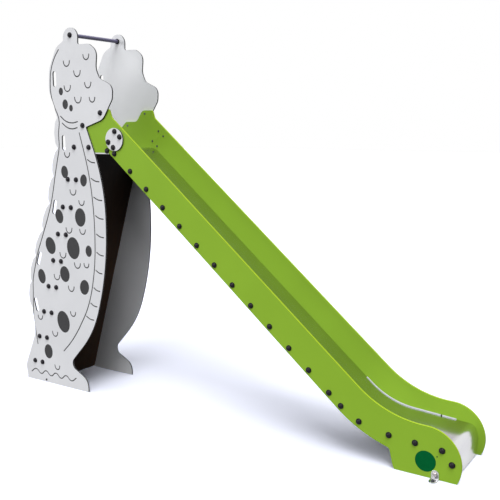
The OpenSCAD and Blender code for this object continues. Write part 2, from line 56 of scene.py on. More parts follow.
studio = {
    "lens": 54.83,                          # mm, on a sensor 36 mm wide
    "sensor": 36,
    "cameraPlace": (3.1803, -4.6062, 2.1487),
    "cameraDown": 9.12,                     # degrees below the horizon
    "cameraTurn": 32.69,
    "skyLight": 0.04,                       # plain ambient light on everything
    "skyTint": (0.97, 0.98, 1.0),
    "softboxes": [
        # name, light, width in degrees, height above the horizon, turn to the right of the -Y side
        ("overhead softbox", 1.28, 44, 89, 0),
        ("high front softbox", 1.81, 34, 58, 38),
        ("right front softbox", 0.33, 32, 32, 38),
        ("front softbox", 0.81, 32, 32, 0),
        ("low left softbox", 1.09, 24, 12, -40),
        ("back softbox", 0.57, 34, 58, 180),
    ],
    "floorTint": (1.00, 1.03, 1.17),        # the floor as the camera sees it, shadows a little blue
    "floorMirrored": (0.72, 0.72, 0.73),    # as metal and glass show it
    "floorBounce": (0.04, 0.04, 0.04),      # the light it gives back
    "floorReach": 60,                       # half its width
    "floorDrop": 0.0005,                    # how far below the slide's feet it lies
}


# sRGB 0-255 to a linear colour
def linear(r, g, b):
    shares = (r / 255, g / 255, b / 255)
    return tuple(c / 12.92 if c <= 0.04045 else ((c + 0.055) / 1.055) ** 2.4 for c in shares)


def addNode(tree, kind, **settings):
    node = tree.nodes.new(kind)
    for key, value in settings.items():
        setattr(node, key, value)
    return node


# Ends a bmesh and gives its mesh
def intoMesh(shape, name):
    mesh = bpy.data.meshes.new(name)
    shape.to_mesh(mesh)
    shape.free()
    return mesh


# 1 for rays from the camera and for those in mirrors and glass that it looks into
def seenDirectly(tree):
    path = addNode(tree, "ShaderNodeLightPath")
    first = addNode(tree, "ShaderNodeMath", operation="ADD")
    both = addNode(tree, "ShaderNodeMath", operation="ADD", use_clamp=True)
    undiffused = addNode(tree, "ShaderNodeMath", operation="LESS_THAN")
    seen = addNode(tree, "ShaderNodeMath", operation="MULTIPLY")
    tree.links.new(path.outputs["Is Camera Ray"], first.inputs[0])
    tree.links.new(path.outputs["Is Glossy Ray"], first.inputs[1])
    tree.links.new(first.outputs[0], both.inputs[0])
    tree.links.new(path.outputs["Is Transmission Ray"], both.inputs[1])
    tree.links.new(path.outputs["Diffuse Depth"], undiffused.inputs[0])
    undiffused.inputs[1].default_value = 0.5
    tree.links.new(both.outputs[0], seen.inputs[0])
    tree.links.new(undiffused.outputs[0], seen.inputs[1])
    return seen.outputs[0]


def setUpStudio():
    cameraData = bpy.data.cameras.new("camera")
    cameraData.lens = studio["lens"]
    cameraData.sensor_width = studio["sensor"]
    camera = bpy.data.objects.new("camera", cameraData)
    camera.location = studio["cameraPlace"]
    camera.rotation_euler = (math.radians(90 - studio["cameraDown"]), 0, math.radians(studio["cameraTurn"]))
    scene.collection.objects.link(camera)
    scene.camera = camera

    world = bpy.data.worlds.new("studio sky")
    scene.world = world
    world.use_nodes = True
    tree = world.node_tree
    sky = tree.nodes["Background"]
    sky.inputs["Color"].default_value = (*studio["skyTint"], 1)
    sky.inputs["Strength"].default_value = studio["skyLight"]
    backdrop = addNode(tree, "ShaderNodeBackground")
    backdrop.inputs["Color"].default_value = (1, 1, 1, 1)
    mix = addNode(tree, "ShaderNodeMixShader")
    tree.links.new(seenDirectly(tree), mix.inputs[0])
    tree.links.new(sky.outputs[0], mix.inputs[1])
    tree.links.new(backdrop.outputs[0], mix.inputs[2])
    tree.links.new(mix.outputs[0], tree.nodes["World Output"].inputs["Surface"])

    for name, light, width, height, turn in studio["softboxes"]:
        lampData = bpy.data.lights.new(name, "SUN")
        lampData.energy = light
        lampData.angle = math.radians(width)
        lamp = bpy.data.objects.new(name, lampData)
        lamp.rotation_euler = (math.radians(90 - height), 0, math.radians(turn))
        scene.collection.objects.link(lamp)

    shape = bmesh.new()
    bmesh.ops.create_grid(shape, x_segments=1, y_segments=1, size=studio["floorReach"])
    bmesh.ops.translate(shape, verts=shape.verts, vec=(0, 0, -studio["floorDrop"]))
    floor = bpy.data.objects.new("floor", intoMesh(shape, "floor"))
    scene.collection.objects.link(floor)
    paint = bpy.data.materials.new("studio floor")
    paint.use_nodes = True
    tree = paint.node_tree
    tree.nodes.remove(tree.nodes["Principled BSDF"])
    looks = []
    for colour in (studio["floorBounce"], studio["floorMirrored"], studio["floorTint"]):
        look = addNode(tree, "ShaderNodeBsdfDiffuse")
        look.inputs["Color"].default_value = (*colour, 1)
        looks.append(look.outputs[0])
    path = addNode(tree, "ShaderNodeLightPath")
    mirrored = addNode(tree, "ShaderNodeMixShader")
    direct = addNode(tree, "ShaderNodeMixShader")
    tree.links.new(seenDirectly(tree), mirrored.inputs[0])
    tree.links.new(looks[0], mirrored.inputs[1])
    tree.links.new(looks[1], mirrored.inputs[2])
    tree.links.new(path.outputs["Is Camera Ray"], direct.inputs[0])
    tree.links.new(mirrored.outputs[0], direct.inputs[1])
    tree.links.new(looks[2], direct.inputs[2])
    tree.links.new(direct.outputs[0], tree.nodes["Material Output"].inputs["Surface"])
    floor.data.materials.append(paint)


setUpStudio()
print("studio set up")


# Finishes

finishes = {
    "white": linear(226, 227, 231),
    "whiteCore": linear(58, 58, 60),
    "green": linear(144, 184, 56),
    "greenCore": linear(178, 204, 38),
    "steel": (0.60, 0.60, 0.62),
    "galvanised": (0.60, 0.62, 0.64),
    "zinc": (0.09, 0.09, 0.10),
    "boltSteel": (0.44, 0.40, 0.41),
    "filmBrown": linear(22, 17, 16),
    "plyWood": linear(120, 84, 56),
    "barPaint": linear(112, 108, 140),
    "capBlack": linear(17, 14, 22),
    "stripWhite": linear(226, 228, 236),
    "discGreen": linear(0, 92, 46),
}


def newMaterial(name, colour, roughness, metallic=0.0, gloss=0.5):
    paint = bpy.data.materials.new(name)
    paint.use_nodes = True
    paint.diffuse_color = (*colour, 1)
    shader = paint.node_tree.nodes["Principled BSDF"]
    shader.inputs["Base Color"].default_value = (*colour, 1)
    shader.inputs["Roughness"].default_value = roughness
    shader.inputs["Metallic"].default_value = metallic
    shader.inputs["Specular IOR Level"].default_value = gloss
    return paint, paint.node_tree, shader


def objectPlace(tree, scale=(1, 1, 1), turn=(0, 0, 0)):
    place = addNode(tree, "ShaderNodeTexCoord")
    mapping = addNode(tree, "ShaderNodeMapping")
    mapping.inputs["Scale"].default_value = scale
    mapping.inputs["Rotation"].default_value = turn
    tree.links.new(place.outputs["Object"], mapping.inputs["Vector"])
    return mapping.outputs["Vector"]


# Cloudy pattern whose lumps are about size metres
def noise(tree, vector, size, detail=3.0, rough=0.5):
    texture = addNode(tree, "ShaderNodeTexNoise")
    texture.inputs["Scale"].default_value = 1 / size
    texture.inputs["Detail"].default_value = detail
    texture.inputs["Roughness"].default_value = rough
    tree.links.new(vector, texture.inputs["Vector"])
    return texture.outputs["Fac"]


def stretch(tree, value, low, high, toLow, toHigh):
    fit = addNode(tree, "ShaderNodeMapRange")
    fit.inputs["From Min"].default_value = low
    fit.inputs["From Max"].default_value = high
    fit.inputs["To Min"].default_value = toLow
    fit.inputs["To Max"].default_value = toHigh
    tree.links.new(value, fit.inputs["Value"])
    return fit.outputs["Result"]


def bump(tree, shader, height, depth, strength=1.0):
    relief = addNode(tree, "ShaderNodeBump")
    relief.inputs["Strength"].default_value = strength
    relief.inputs["Distance"].default_value = depth
    tree.links.new(height, relief.inputs["Height"])
    tree.links.new(relief.outputs["Normal"], shader.inputs["Normal"])


def blendColours(tree, factor, first, second):
    mix = addNode(tree, "ShaderNodeMix", data_type="RGBA")
    for socket, colour in ((mix.inputs[6], first), (mix.inputs[7], second)):
        if isinstance(colour, tuple):
            socket.default_value = (*colour, 1)
        else:
            tree.links.new(colour, socket)
    tree.links.new(factor, mix.inputs[0])
    return mix.outputs[2]


def math2(tree, operation, first, second):
    step = addNode(tree, "ShaderNodeMath", operation=operation)
    for socket, value in ((step.inputs[0], first), (step.inputs[1], second)):
        if isinstance(value, (int, float)):
            socket.default_value = value
        else:
            tree.links.new(value, socket)
    return step.outputs[0]


def shadeOf(colour, by):
    return tuple(min(1.0, c * by) for c in colour)


# Sheet with coloured faces over a core that its edges and engravings show.
# inner and outer are its faces' distances from the middle plane
def sandwichSheet(name, skin, core, inner, outer, skinThickness, roughness, grainSize, gloss=0.2):
    paint, tree, shader = newMaterial(name, skin, roughness, gloss=gloss)
    place = objectPlace(tree)
    parts = addNode(tree, "ShaderNodeSeparateXYZ")
    tree.links.new(place, parts.inputs[0])
    across = addNode(tree, "ShaderNodeMath", operation="ABSOLUTE")
    tree.links.new(parts.outputs["Y"], across.inputs[0])
    pastInner = math2(tree, "GREATER_THAN", across.outputs[0], inner + skinThickness)
    beforeOuter = math2(tree, "LESS_THAN", across.outputs[0], outer - skinThickness)
    inCore = math2(tree, "MULTIPLY", pastInner, beforeOuter)
    cloud = stretch(tree, noise(tree, place, 0.35, 4), 0.35, 0.65, 0, 1)
    skinTone = blendColours(tree, cloud, shadeOf(skin, 0.975), shadeOf(skin, 1.02))
    coreTone = blendColours(tree, noise(tree, place, 0.012, 2), shadeOf(core, 0.85), shadeOf(core, 1.12))
    tree.links.new(blendColours(tree, inCore, skinTone, coreTone), shader.inputs["Base Color"])
    grain = noise(tree, place, grainSize, 2, 0.6)
    rough = stretch(tree, noise(tree, place, 0.09, 3), 0.3, 0.7, roughness - 0.05, roughness + 0.06)
    coreRough = math2(tree, "MULTIPLY", inCore, 0.6)
    tree.links.new(math2(tree, "MAXIMUM", rough, coreRough), shader.inputs["Roughness"])
    bump(tree, shader, grain, 0.00035, 0.5)
    return paint


# Painted reflection on the chute sheet along X
bedPaintedReflection = {
    "dimmed": (1.62, 1.74),             # where along X the steel turns darker: painted shade in its reflection
    "brightened": (1.79, 1.83),            # where it turns brighter: painted reflection of the floor and backdrop on the nose
    "dimmedTint": (0.82, 0.79, 0.80),
    "brightening": 1.25,
}


# along is how fine the brushed lines are along X, Y and Z, and line is their depth
def brushedSteel(name, colour, roughness, along=(3, 420, 3), line=0.00004, paintedReflection=None):
    paint, tree, shader = newMaterial(name, colour, roughness, 1.0)
    place = objectPlace(tree, along)
    lines = noise(tree, place, 1.0, 2, 0.7)
    rough = stretch(tree, lines, 0.3, 0.7, roughness - 0.04, roughness + 0.05)
    tree.links.new(rough, shader.inputs["Roughness"])
    cloud = noise(tree, objectPlace(tree), 0.16, 3)
    tone = blendColours(tree, cloud, shadeOf(colour, 0.94), shadeOf(colour, 1.04))
    # Painted light: a darker reflection before the nose and a brighter one on it
    if paintedReflection:
        parts = addNode(tree, "ShaderNodeSeparateXYZ")
        tree.links.new(objectPlace(tree), parts.inputs[0])
        isDimmed = stretch(tree, parts.outputs["X"], *paintedReflection["dimmed"], 0, 1)
        isBrightened = stretch(tree, parts.outputs["X"], *paintedReflection["brightened"], 0, 1)
        dull = tuple(c * t for c, t in zip(colour, paintedReflection["dimmedTint"]))
        tone = blendColours(tree, isDimmed, tone, dull)
        tone = blendColours(tree, isBrightened, tone, shadeOf(colour, paintedReflection["brightening"]))
    tree.links.new(tone, shader.inputs["Base Color"])
    bump(tree, shader, lines, line, 0.35)
    return paint


def galvanisedSteel():
    colour = finishes["galvanised"]
    paint, tree, shader = newMaterial("galvanised sheet", colour, 0.42, 1.0)
    spangle = addNode(tree, "ShaderNodeTexVoronoi")
    spangle.inputs["Scale"].default_value = 55
    tree.links.new(objectPlace(tree), spangle.inputs["Vector"])
    tone = addNode(tree, "ShaderNodeSeparateColor")
    tree.links.new(spangle.outputs["Color"], tone.inputs[0])
    flakes = blendColours(tree, tone.outputs[0], shadeOf(colour, 0.86), shadeOf(colour, 1.12))
    tree.links.new(flakes, shader.inputs["Base Color"])
    tree.links.new(stretch(tree, tone.outputs[1], 0, 1, 0.34, 0.5), shader.inputs["Roughness"])
    bump(tree, shader, noise(tree, objectPlace(tree), 0.004, 3), 0.0002, 0.4)
    return paint


filmLook = {
    "layers": 4.5,                       # pairs of wood layers in the thickness
    "lightByHeight": (1.5, 0.45),                 # heights between which the film grows paler downwards: painted shade above, painted light below
    # Film tones where light falls, painted
    "litFilm": linear(88, 72, 62),
    "litStreak": linear(100, 75, 58),
    "netFineness": 190,
}


# Film-faced plywood: dark smooth or netted faces, wood layers at the edges.
# lean turns the pattern upright, and start is where the board begins along its thickness
def filmPlywood(name, lean, thicknessAxis, start, thickness, netted=False):
    film = finishes["filmBrown"]
    paint, tree, shader = newMaterial(name, film, 0.38, gloss=0.04)
    place = objectPlace(tree, (1, 1, 1), (0, lean, 0))
    parts = addNode(tree, "ShaderNodeSeparateXYZ")
    tree.links.new(place, parts.inputs[0])
    facing = addNode(tree, "ShaderNodeTexCoord")
    turned = addNode(tree, "ShaderNodeMapping", vector_type="NORMAL")
    turned.inputs["Rotation"].default_value = (0, lean, 0)
    tree.links.new(facing.outputs["Normal"], turned.inputs["Vector"])
    sides = addNode(tree, "ShaderNodeSeparateXYZ")
    tree.links.new(turned.outputs["Vector"], sides.inputs[0])
    flat = addNode(tree, "ShaderNodeMath", operation="ABSOLUTE")
    tree.links.new(sides.outputs[thicknessAxis], flat.inputs[0])
    onEdge = math2(tree, "LESS_THAN", flat.outputs[0], 0.6)
    depth = math2(tree, "SUBTRACT", parts.outputs[thicknessAxis], start)
    layer = math2(tree, "FRACT", math2(tree, "MULTIPLY", depth, filmLook["layers"] / thickness), 0)
    dark = math2(tree, "GREATER_THAN", layer, 0.5)
    wood = finishes["plyWood"]
    fibre = noise(tree, objectPlace(tree, (1, 9, 1)), 0.006, 3, 0.7)
    ply = blendColours(tree, dark, shadeOf(wood, 1.05), shadeOf(wood, 0.55))
    plyTone = blendColours(tree, fibre, ply, shadeOf(wood, 0.4))
    streak = noise(tree, objectPlace(tree, (1, 1, 0.06), (0, lean, 0)), 0.035, 4, 0.6)
    # Painted shade and light: above the higher height the film is darkened to a third, where the deck
    # shades it, and it grows paler towards the lower height, where light falls
    lightByHeight = stretch(tree, parts.outputs["Z"], *filmLook["lightByHeight"], 0, 1)
    plainTone = blendColours(tree, lightByHeight, shadeOf(film, 0.3), filmLook["litFilm"])
    streakTone = blendColours(tree, lightByHeight, film, filmLook["litStreak"])
    filmTone = blendColours(tree, stretch(tree, streak, 0.42, 0.72, 0, 1), plainTone, streakTone)
    tree.links.new(blendColours(tree, onEdge, filmTone, plyTone), shader.inputs["Base Color"])
    tree.links.new(stretch(tree, onEdge, 0, 1, 0.38, 0.75), shader.inputs["Roughness"])
    if netted:
        net = addNode(tree, "ShaderNodeTexVoronoi", feature="DISTANCE_TO_EDGE")
        net.inputs["Scale"].default_value = filmLook["netFineness"]
        net.inputs["Randomness"].default_value = 0.15
        tree.links.new(objectPlace(tree), net.inputs["Vector"])
        bump(tree, shader, stretch(tree, net.outputs["Distance"], 0, 0.12, 1, 0), 0.0009, 0.8)
    else:
        upright = objectPlace(tree, (1, 1, 0.25), (0, lean, 0))
        bump(tree, shader, noise(tree, upright, 0.01, 3), 0.0004, 0.4)
    return paint


def mouldedPlastic(name, colour, roughness, grain=0.0015, gloss=0.4):
    paint, tree, shader = newMaterial(name, colour, roughness, gloss=gloss)
    place = objectPlace(tree)
    cloud = noise(tree, place, 0.03, 3)
    tone = blendColours(tree, cloud, shadeOf(colour, 0.85), shadeOf(colour, 1.15))
    rough = stretch(tree, cloud, 0.3, 0.7, roughness - 0.04, roughness + 0.08)
    tree.links.new(tone, shader.inputs["Base Color"])
    tree.links.new(rough, shader.inputs["Roughness"])
    bump(tree, shader, noise(tree, place, grain, 2), 0.00008, 0.4)
    return paint


# Where the pieces lie that the finishes follow, in metres
places = {
    "greenInside": 0.245,                # faces of the sheets, from the middle plane
    "greenOutside": 0.260,
    "whiteOutside": 0.273,
    "stepRun": 0.068,                    # forwards and up from one tread to the next
    "stepRise": 0.22475,
    "deckUnderside": 1.959,
    "nowhere": 9,                        # for a sheet whose core shows at no height
}
boardLean = math.atan2(places["stepRun"], places["stepRise"])

white, whiteCore = finishes["white"], finishes["whiteCore"]
green, greenCore = finishes["green"], finishes["greenCore"]
steel = finishes["steel"]
evenly = (60, 60, 60)
paints = {
    "white_panel": sandwichSheet("white sheet with dark core", white, whiteCore,
                                 places["greenOutside"], places["whiteOutside"],
                                 skinThickness=0.0009, roughness=0.42, grainSize=0.0016),
    "green_panel": sandwichSheet("green sheet with lime core", green, greenCore,
                                 places["greenInside"], places["greenOutside"],
                                 skinThickness=0.0022, roughness=0.44, grainSize=0.0018, gloss=0.05),
    "plate": sandwichSheet("white sheet, level", white, whiteCore,
                           places["nowhere"], places["nowhere"] + 0.1,
                           skinThickness=0.001, roughness=0.42, grainSize=0.0016),
    "stainless": brushedSteel("brushed stainless", steel, 0.24),
    "bed": brushedSteel("chute sheet", steel, 0.17, line=0.000004, paintedReflection=bedPaintedReflection),
    "tread_steel": galvanisedSteel(),
    "back": filmPlywood("back board plywood", -boardLean, thicknessAxis=0, start=0.0, thickness=0.018),
    "deck": filmPlywood("deck plywood", 0, thicknessAxis=2, start=places["deckUnderside"], thickness=0.029,
                        netted=True),
    "bar_paint": mouldedPlastic("powder coat", finishes["barPaint"], 0.36, 0.0012),
    "black_cap": mouldedPlastic("black moulded plastic", finishes["capBlack"], 0.34, gloss=0.18),
    "strip": mouldedPlastic("pale plastic strip", finishes["stripWhite"], 0.42),
    "disc_green": mouldedPlastic("dark green sheet", finishes["discGreen"], 0.5, gloss=0.05),
    "fastener": brushedSteel("dull zinc", finishes["zinc"], 0.5, evenly),
    "bolt_head": brushedSteel("plain stainless", finishes["boltSteel"], 0.32, evenly),
}
print("finishes made:", len(paints))

# The solids take the finish of their slot, apart from four with a finish of their own
ownPaint = {"back_board": "back", "deck_board": "deck", "deck_plate": "plate", "slide_bed": "bed"}
slotOf = {entry["node"]: entry["material_slot"] for entry in frame["record"]["subparts"]}
for name, node in cadNodes.items():
    node.data.materials.clear()
    node.data.materials.append(paints[ownPaint.get(name, slotOf[name])])


# Shared shaping

shaping = {
    "weld": 0.00002,                     # corners nearer to each other than this are joined
    "levelAngle": 0.8,                   # degrees up to which neighbours become one face
    "roundAngle": 40,                    # degrees from which an edge is rounded
    "shadeAngle": 35,                    # degrees from which an edge is shaded sharp
    "flatArea": 0.004,                   # square metres from which a face is shaded flat
    "neverFlat": 9,                      # more than any face has
}


# bmesh of a CAD node with its loose triangles joined
def mergedCopy(nodeName):
    shape = bmesh.new()
    shape.from_mesh(cadNodes[nodeName].data)
    bmesh.ops.remove_doubles(shape, verts=shape.verts, dist=shaping["weld"])
    bmesh.ops.dissolve_limit(shape, angle_limit=math.radians(shaping["levelAngle"]), verts=shape.verts,
                             edges=shape.edges)
    return shape


def vertsIn(geom):
    return [part for part in geom if isinstance(part, bmesh.types.BMVert)]


def sharpEdges(shape):
    limit = math.radians(shaping["roundAngle"])
    return [e for e in shape.edges if len(e.link_faces) == 2 and e.calc_face_angle(0) > limit]


def roundEdges(shape, edges, radius, segments=2):
    bmesh.ops.bevel(shape, geom=edges, offset=radius, offset_type="OFFSET", affect="EDGES",
                    segments=segments, profile=0.5, material=-1, clamp_overlap=True)


# Smooth shading, but flat on the plates' faces and on everything larger than flatAbove
def setShading(mesh, flatAbove):
    if "custom_normal" in mesh.attributes:
        mesh.attributes.remove(mesh.attributes["custom_normal"])
    mesh.set_sharp_from_angle(angle=math.radians(shaping["shadeAngle"]))
    for face in mesh.polygons:
        face.use_smooth = abs(face.normal.y) < 0.9995 and face.area < flatAbove


# Makes the bmesh an object that rides on the frame
def addPiece(shape, name, paint, replaced=(), flatAbove=shaping["flatArea"], body="root"):
    mesh = intoMesh(shape, name)
    setShading(mesh, flatAbove)
    mesh.materials.append(paint)
    piece = bpy.data.objects.new(name, mesh)
    scene.collection.objects.link(piece)
    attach(piece, body)
    if replaced:
        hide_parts(*replaced)
    return piece


# Value at a place on a line of (place, value) points, whose places rise
def valueOn(line, place):
    for (lowPlace, lowValue), (highPlace, highValue) in zip(line, line[1:]):
        if lowPlace <= place <= highPlace:
            return lowValue + (highValue - lowValue) * (place - lowPlace) / (highPlace - lowPlace)


# Low and high corners of every separate solid of a CAD node
def islands(nodeName):
    shape = mergedCopy(nodeName)
    seen = set()
    boxes = []
    for start in shape.verts:
        if start in seen:
            continue
        seen.add(start)
        stack = [start]
        low, high = start.co.copy(), start.co.copy()
        while stack:
            vert = stack.pop()
            low = Vector(map(min, low, vert.co))
            high = Vector(map(max, high, vert.co))
            for edge in vert.link_edges:
                other = edge.other_vert(vert)
                if other not in seen:
                    seen.add(other)
                    stack.append(other)
        boxes.append((low, high))
    shape.free()
    return boxes


# White side panels with their engraved lines

panelLook = {
    "edgeRadius": 0.0016,
    "face": places["whiteOutside"],
    "crestPlace": 853.119,               # mm from the crest of the slide to the middle of its length
    "lineRadius": 0.0054,
    "lineDepth": 0.4,                    # share of that radius
    "spotDepth": 0.0014,
    "bandHeights": (1905, 1760, 1615, 1470, 1325, 1180, 1035, 890, 760, 645),
    "bandInset": 16,                     # mm between a band and the line beside it
    "bandMargin": 20,                    # mm between a band and the panel's edge
    "bandDrop": 24,
}

# Lines as points (x, z) in millimetres from the crest of the slide, drawn as smooth curves
edgeBorder = [(-330, 2112), (-296, 2000), (-262, 1880), (-232, 1740), (-210, 1580), (-199, 1420),
              (-198, 1260), (-206, 1110), (-228, 960), (-262, 820), (-312, 690), (-372, 585),
              (-440, 480), (-518, 384), (-596, 306)]
longLines = [
    # inside the scalloped edge
    [(-905, 320), (-922, 430), (-941, 560), (-940, 660), (-934, 780), (-928, 880), (-895, 1000),
     (-866, 1095), (-815, 1210), (-764, 1320), (-712, 1440), (-672, 1545), (-640, 1660), (-614, 1770),
     (-582, 1890), (-556, 1995), (-556, 2100), (-546, 2215), (-590, 2310), (-622, 2400), (-627, 2510),
     (-612, 2600), (-570, 2690), (-520, 2752)],
    edgeBorder,
    # wave above the ground
    [(-1000, 62), (-940, 96), (-880, 62), (-820, 96), (-760, 62), (-700, 96), (-640, 62), (-580, 96),
     (-520, 62), (-460, 96)],
    # double arc between the wide and the narrow part
    [(-512, 2186), (-460, 2152), (-400, 2140), (-345, 2150)],
    [(-530, 2240), (-470, 2200), (-400, 2186), (-340, 2196)],
]

# Small open arcs: x, z and radius, and their shape as shares of the radius
smallArcs = [
    (-470, 1935, 30), (-420, 1640, 34), (-330, 1560, 30), (-480, 1330, 34), (-330, 1330, 32),
    (-560, 1120, 36), (-400, 1050, 34), (-300, 1060, 28), (-640, 930, 34), (-480, 850, 34),
    (-860, 560, 28), (-680, 150, 30), (-690, 440, 32), (-470, 640, 30), (-440, 2450, 36),
    (-330, 2560, 36), (-220, 2470, 34), (-330, 2360, 36), (-180, 2360, 30), (-440, 2640, 34),
    (-230, 2680, 32),
]
arcShape = [(-1, 0.7), (-0.7, -0.25), (0, -0.6), (0.7, -0.25), (1, 0.7)]

# Dark ovals: x, z, half width, half height and tilt in degrees
spots = [
    (-505, 1800, 38, 50, -10), (-300, 1740, 36, 48, 8), (-585, 1440, 44, 58, -16), (-350, 1445, 58, 74, 0),
    (-700, 1190, 56, 72, -20), (-440, 1190, 70, 90, -8), (-270, 1180, 34, 46, 0), (-820, 920, 44, 62, -12),
    (-548, 966, 54, 66, -10), (-330, 880, 50, 62, 14), (-585, 560, 70, 92, -14), (-778, 275, 48, 62, 0),
    (-470, 2330, 30, 38, 0), (-512, 2430, 23, 30, 0), (-408, 2300, 20, 26, 0),
]


def ontoPanel(x, z, side):
    return Vector(((x - panelLook["crestPlace"]) / 1000, side * panelLook["face"], z / 1000))


# Front outline of the panels at height z, for the ends of the bands
def frontEdgeOf(z):
    mesh = cadNodes["side_panel_right"].data
    reach = []
    for edge in mesh.edges:
        first, second = (mesh.vertices[v].co for v in edge.vertices)
        if (first.z * 1000 - z) * (second.z * 1000 - z) < 0:
            share = (z / 1000 - first.z) / (second.z - first.z)
            reach.append(first.x + (second.x - first.x) * share)
    return max(reach) * 1000 + panelLook["crestPlace"]


def edgeBands():
    border = [(z, x) for x, z in reversed(edgeBorder)]
    drop = panelLook["bandDrop"]
    bands = []
    for z in panelLook["bandHeights"]:
        innerX = valueOn(border, z) + panelLook["bandInset"]
        outerX = frontEdgeOf(z - drop) - panelLook["bandMargin"]
        bands.append([(innerX, z), ((innerX + outerX) / 2, z - drop * 5 / 6), (outerX, z - drop)])
    return bands


def arcLines():
    return [[(x + r * across, z + r * up) for across, up in arcShape] for x, z, r in smallArcs]


# Mesh that an object's curve or modifiers come to
def solved(holder):
    bpy.context.view_layer.update()
    return bpy.data.meshes.new_from_object(holder.evaluated_get(bpy.context.evaluated_depsgraph_get()))


# One flattened rod along every line, half sunk into the outer face
def lineCutters(side):
    curve = bpy.data.curves.new("engraving", "CURVE")
    curve.dimensions = "3D"
    curve.bevel_depth = panelLook["lineRadius"]
    curve.bevel_resolution = 1
    curve.resolution_u = 6
    curve.use_fill_caps = True
    for line in longLines + edgeBands() + arcLines():
        spline = curve.splines.new("BEZIER")
        spline.bezier_points.add(len(line) - 1)
        for point, (x, z) in zip(spline.bezier_points, line):
            point.co = ontoPanel(x, z, side)
            point.handle_left_type = point.handle_right_type = "AUTO"
    holder = bpy.data.objects.new("engraving", curve)
    scene.collection.objects.link(holder)
    rods = solved(holder)
    shape = bmesh.new()
    shape.from_mesh(rods)
    bmesh.ops.remove_doubles(shape, verts=shape.verts, dist=0.00001)
    bmesh.ops.scale(shape, verts=shape.verts, vec=(1, panelLook["lineDepth"], 1),
                    space=Matrix.Translation((0, -side * panelLook["face"], 0)))
    bpy.data.objects.remove(holder)
    return shape


def addSpotCutters(shape, side):
    depth = panelLook["spotDepth"]
    for x, z, wide, high, tilt in spots:
        made = bmesh.ops.create_circle(shape, cap_ends=True, segments=56, radius=1)["verts"]
        disc = made[0].link_faces[:]
        upper = vertsIn(bmesh.ops.extrude_face_region(shape, geom=disc)["geom"])
        bmesh.ops.translate(shape, verts=upper, vec=(0, 0, 2 * depth))
        tilted = Matrix.Translation(ontoPanel(x, z, side)) @ Matrix.Rotation(math.radians(tilt), 4, "Y")
        upright = Matrix.Rotation(math.radians(90), 4, "X")
        sized = Matrix.Diagonal((wide / 1000, high / 1000, 1, 1)) @ Matrix.Translation((0, 0, -depth))
        bmesh.ops.transform(shape, verts=made + upper, matrix=tilted @ upright @ sized)


# Boolean cut of a bmesh from a piece, applied at once
def cutAway(piece, shape):
    bmesh.ops.recalc_face_normals(shape, faces=shape.faces)
    cutter = bpy.data.objects.new("cutter", intoMesh(shape, "cutter"))
    scene.collection.objects.link(cutter)
    cut = piece.modifiers.new("cut", "BOOLEAN")
    cut.operation = "DIFFERENCE"
    cut.solver = "EXACT"
    cut.use_self = True
    cut.object = cutter
    result = solved(piece)
    piece.modifiers.clear()
    piece.data = result
    setShading(result, shaping["flatArea"])
    bpy.data.objects.remove(cutter)


def makeSidePanels():
    for hand, side in (("right", -1), ("left", 1)):
        shape = mergedCopy("side_panel_" + hand)
        roundEdges(shape, sharpEdges(shape), panelLook["edgeRadius"])
        replaced = ("side_panel_" + hand,)
        panel = addPiece(shape, "white_panel_" + hand, paints["white_panel"], replaced)
        cutters = lineCutters(side)
        addSpotCutters(cutters, side)
        cutAway(panel, cutters)
        print("panel", hand, "has", len(panel.data.polygons), "faces")


makeSidePanels()
print("side panels engraved")


# Green sides, plates, boards and brackets with softened edges

softened = [
    # piece, node, slot, finish, edge radius
    ("green_start_right", "start_side_right", "green_panel", "green_panel", 0.0022),
    ("green_start_left", "start_side_left", "green_panel", "green_panel", 0.0022),
    ("green_side_right", "slide_side_right", "green_panel", "green_panel", 0.0022),
    ("green_side_left", "slide_side_left", "green_panel", "green_panel", 0.0022),
    ("joint_plate_right", "splice_plate_right", "white_panel", "white_panel", 0.0016),
    ("joint_plate_left", "splice_plate_left", "white_panel", "white_panel", 0.0016),
    ("deck_support_plate", "deck_plate", "white_panel", "plate", 0.0012),
    ("deck_floor", "deck_board", "film_plywood", "deck", 0.0015),
    ("ladder_back", "back_board", "film_plywood", "back", 0.0012),
    ("round_disc_right", "foot_disc_right", "disc_green", "disc_green", 0.0012),
    ("round_disc_left", "foot_disc_left", "disc_green", "disc_green", 0.0012),
    ("exit_angles", "exit_brackets", "stainless", "stainless", 0.0012),
    ("tower_angles", "tower_brackets", "stainless", "stainless", 0.0012),
    ("board_angles", "back_cleats", "stainless", "stainless", 0.0006),
    ("cross_ribs", "bed_ribs", "stainless", "stainless", 0.0008),
    ("bar_end_rings", "bar_collars", "black_cap", "black_cap", 0.0022),
]


def makeSoftened():
    for pieceName, nodeName, slotName, paintName, radius in softened:
        shape = mergedCopy(nodeName)
        roundEdges(shape, sharpEdges(shape), radius)
        addPiece(shape, pieceName, paints[paintName], (nodeName,))


makeSoftened()
print("plates and boards softened:", len(softened))


# Steel bed

bedLook = {
    "bendRadius": 0.0055,                # where the sheet turns down into its flanges
    "bendSteps": 4,
    "outermost": 0.2443,                 # a bend lies at least this far from the middle plane
    "shortest": 0.004,                   # edges shorter than this belong to bolt holes
}


# Edges between the bed's upper face, whose normal lies across Y, and its flanges
def bedBends(shape):
    bends = []
    for edge in shape.edges:
        reach = min(abs(v.co.y) for v in edge.verts)
        tooShort = edge.calc_length() <= bedLook["shortest"]
        if len(edge.link_faces) != 2 or tooShort or reach < bedLook["outermost"]:
            continue
        upper, flange = sorted((f.normal for f in edge.link_faces), key=lambda n: abs(n.y))
        if abs(flange.y) > 0.9 and abs(upper.y) < 0.1 and upper.x + upper.z > 0.2:
            bends.append(edge)
    return bends


def makeBed():
    shape = mergedCopy("slide_bed")
    bends = bedBends(shape)
    print("bed bends found:", len(bends))
    roundEdges(shape, bends, bedLook["bendRadius"], bedLook["bendSteps"])
    addPiece(shape, "chute_bed", paints["bed"], ("slide_bed",), shaping["neverFlat"])


makeBed()
print("bed made")


# Domed caps

